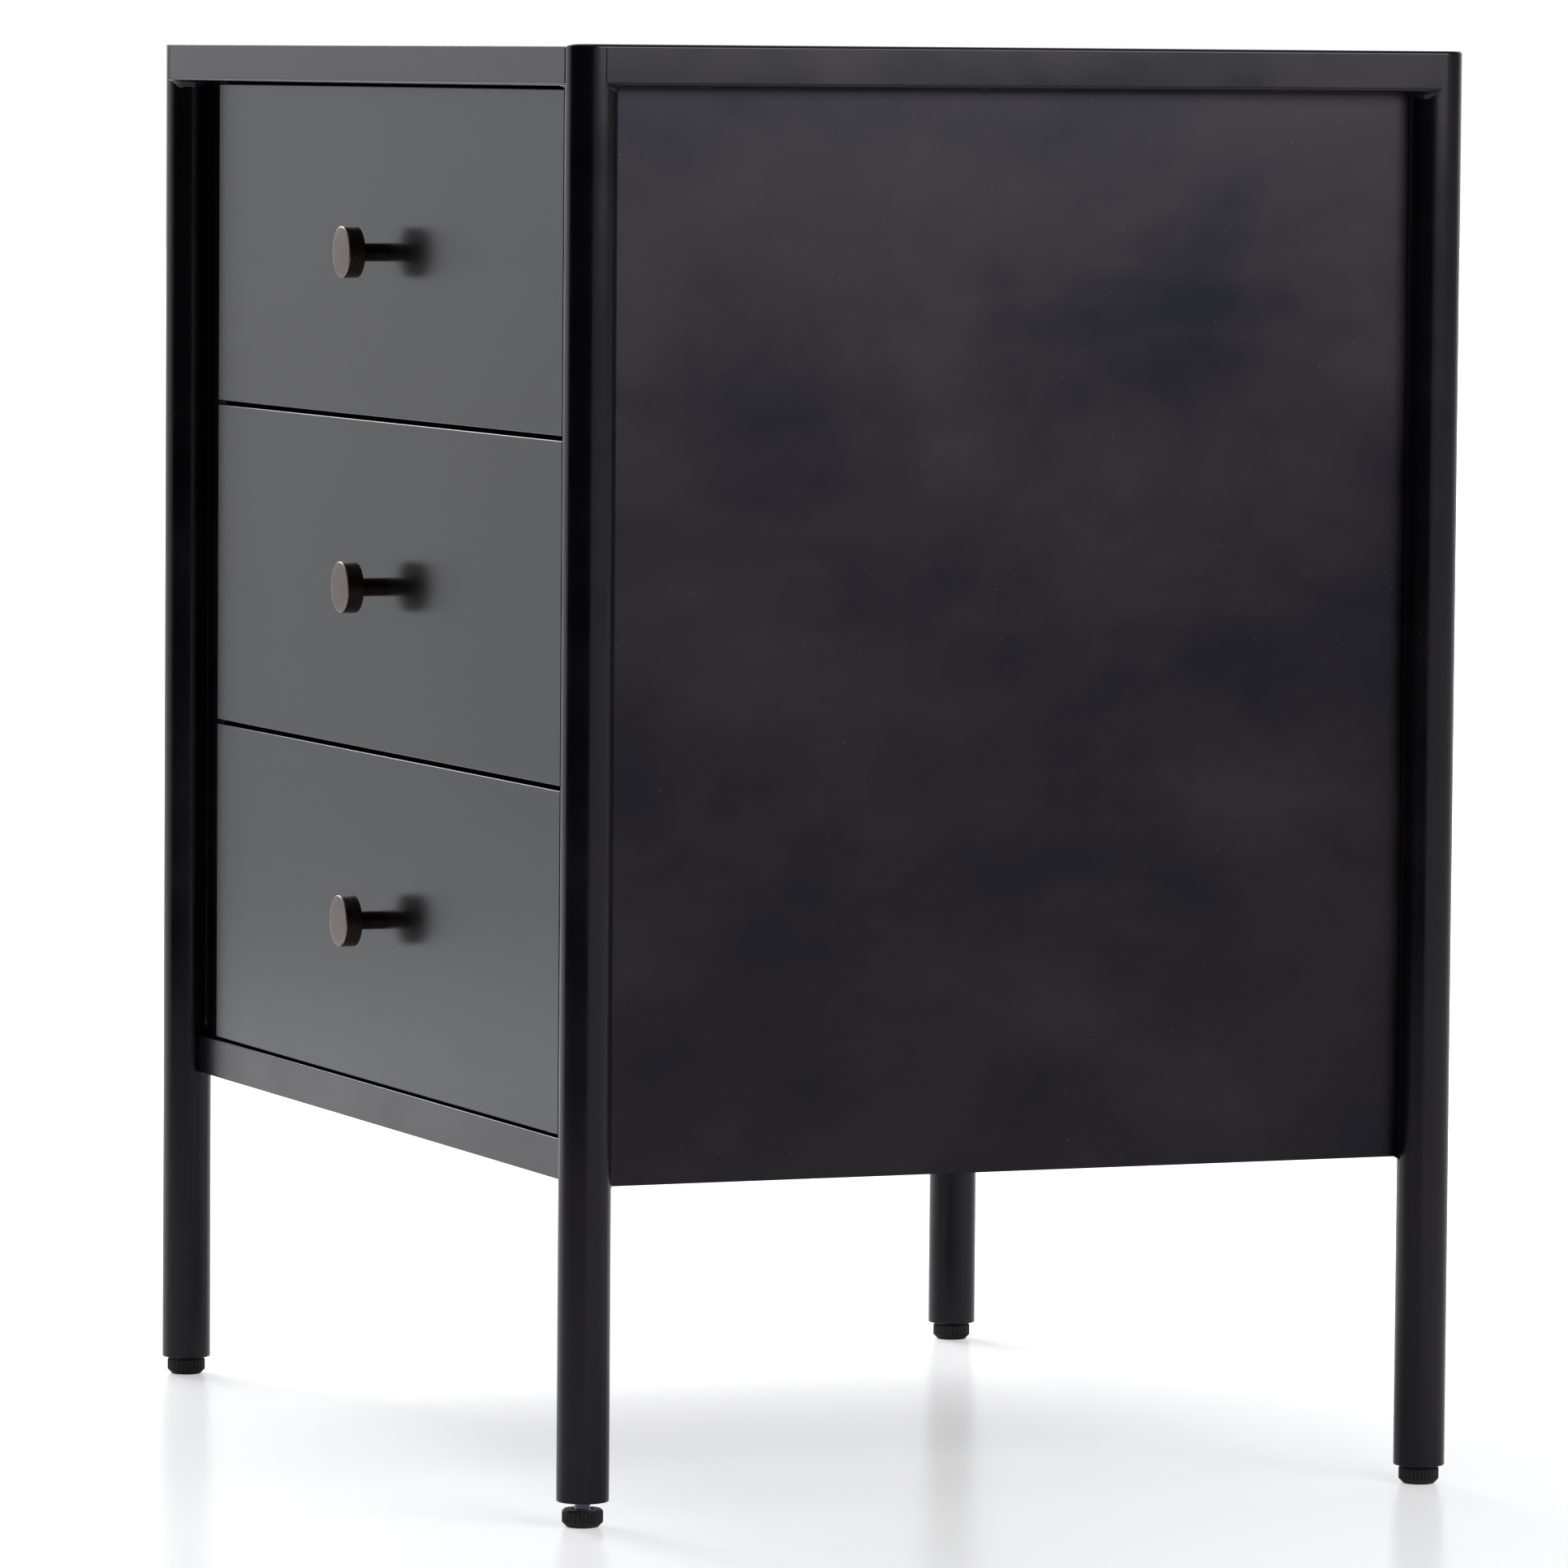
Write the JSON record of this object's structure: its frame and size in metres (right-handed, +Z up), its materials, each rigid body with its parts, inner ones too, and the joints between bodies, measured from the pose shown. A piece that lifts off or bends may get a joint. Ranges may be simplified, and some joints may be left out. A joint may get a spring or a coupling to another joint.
{
  "type": "nightstand",
  "caption": "Black metal nightstand with round tube legs, flush top, stacked drawers with round knobs and screw-in levelling feet.",
  "frame": {"origin": "on the floor, at the middle of the footprint with the knobs included", "axes": "+Z up, drawers open towards -Y, +X to the right seen from the front"},
  "size_m": [0.614, 0.479, 0.71],
  "materials": {
    "frame_iron": "satin black waxed and lacquered iron, slightly mottled",
    "drawer_iron": "semi-gloss black lacquered iron sheet",
    "front_board": "raw fibreboard core",
    "box_wood": "clear satin plywood",
    "slide_steel": "bright zinc-plated",
    "zinc_steel": "zinc-plated",
    "knob_bronze": "dark bronze patina with edges worn bright",
    "pad_plastic": "moulded black nylon"
  },
  "bodies": {
    "frame": {"leg_front_left": "frame_iron", "leg_rear_left": "frame_iron", "leg_front_right": "frame_iron", "leg_rear_right": "frame_iron", "leg_thread_plugs": "zinc_steel", "top_rail_front": "frame_iron", "top_rail_rear": "frame_iron", "top_rail_left": "frame_iron", "top_rail_right": "frame_iron", "bottom_rail_front": "frame_iron", "bottom_rail_rear": "frame_iron", "top_panel": "frame_iron", "side_panel_left": "frame_iron", "side_panel_right": "frame_iron", "back_panel": "frame_iron", "bottom_panel": "frame_iron", "stile_front_left": "frame_iron", "stile_front_right": "frame_iron", "stile_rear_left": "frame_iron", "stile_rear_right": "frame_iron", "slide_outer_members": "slide_steel", "slide_screws": "zinc_steel"},
    "drawer_bottom": {"drawer_front_bottom": "drawer_iron", "drawer_board_bottom": "front_board", "drawer_side_bottom_left": "box_wood", "drawer_side_bottom_right": "box_wood", "drawer_bottom_bottom": "box_wood", "drawer_back_bottom": "box_wood", "knob_bottom": "knob_bronze", "knob_screw_bottom": "zinc_steel", "slide_inner_bottom": "slide_steel"},
    "runner_bottom": {"slide_middle_bottom": "slide_steel"},
    "drawer_middle": {"drawer_front_middle": "drawer_iron", "drawer_board_middle": "front_board", "drawer_side_middle_left": "box_wood", "drawer_side_middle_right": "box_wood", "drawer_bottom_middle": "box_wood", "drawer_back_middle": "box_wood", "knob_middle": "knob_bronze", "knob_screw_middle": "zinc_steel", "slide_inner_middle": "slide_steel"},
    "runner_middle": {"slide_middle_middle": "slide_steel"},
    "drawer_top": {"drawer_front_top": "drawer_iron", "drawer_board_top": "front_board", "drawer_side_top_left": "box_wood", "drawer_side_top_right": "box_wood", "drawer_bottom_top": "box_wood", "drawer_back_top": "box_wood", "knob_top": "knob_bronze", "knob_screw_top": "zinc_steel", "slide_inner_top": "slide_steel"},
    "runner_top": {"slide_middle_top": "slide_steel"},
    "foot_front_left": {"foot_pad_front_left": "pad_plastic", "foot_stud_front_left": "zinc_steel"},
    "foot_rear_left": {"foot_pad_rear_left": "pad_plastic", "foot_stud_rear_left": "zinc_steel"},
    "foot_front_right": {"foot_pad_front_right": "pad_plastic", "foot_stud_front_right": "zinc_steel"},
    "foot_rear_right": {"foot_pad_rear_right": "pad_plastic", "foot_stud_rear_right": "zinc_steel"}
  },
  "joints": [
    {"name": "drawer_bottom_slide", "type": "slide", "parent": "frame", "child": "drawer_bottom", "axis": [0, -1, 0], "range_m": [0, 0.36]},
    {"name": "runner_bottom_slide", "type": "slide", "parent": "frame", "child": "runner_bottom", "axis": [0, -1, 0], "range_m": [0, 0.18]},
    {"name": "drawer_middle_slide", "type": "slide", "parent": "frame", "child": "drawer_middle", "axis": [0, -1, 0], "range_m": [0, 0.36]},
    {"name": "runner_middle_slide", "type": "slide", "parent": "frame", "child": "runner_middle", "axis": [0, -1, 0], "range_m": [0, 0.18]},
    {"name": "drawer_top_slide", "type": "slide", "parent": "frame", "child": "drawer_top", "axis": [0, -1, 0], "range_m": [0, 0.36]},
    {"name": "runner_top_slide", "type": "slide", "parent": "frame", "child": "runner_top", "axis": [0, -1, 0], "range_m": [0, 0.18]},
    {"name": "foot_front_left_level", "type": "slide", "parent": "frame", "child": "foot_front_left", "axis": [0, 0, -1], "range_m": [-0.0006, 0.012]},
    {"name": "foot_rear_left_level", "type": "slide", "parent": "frame", "child": "foot_rear_left", "axis": [0, 0, -1], "range_m": [-0.0006, 0.012]},
    {"name": "foot_front_right_level", "type": "slide", "parent": "frame", "child": "foot_front_right", "axis": [0, 0, -1], "range_m": [-0.0036, 0.012]},
    {"name": "foot_rear_right_level", "type": "slide", "parent": "frame", "child": "foot_rear_right", "axis": [0, 0, -1], "range_m": [-0.0006, 0.012]}
  ],
  "couplings": [
    {"joint": "runner_bottom_slide", "follows": "drawer_bottom_slide", "ratio": 0.5},
    {"joint": "runner_middle_slide", "follows": "drawer_middle_slide", "ratio": 0.5},
    {"joint": "runner_top_slide", "follows": "drawer_top_slide", "ratio": 0.5}
  ]
}
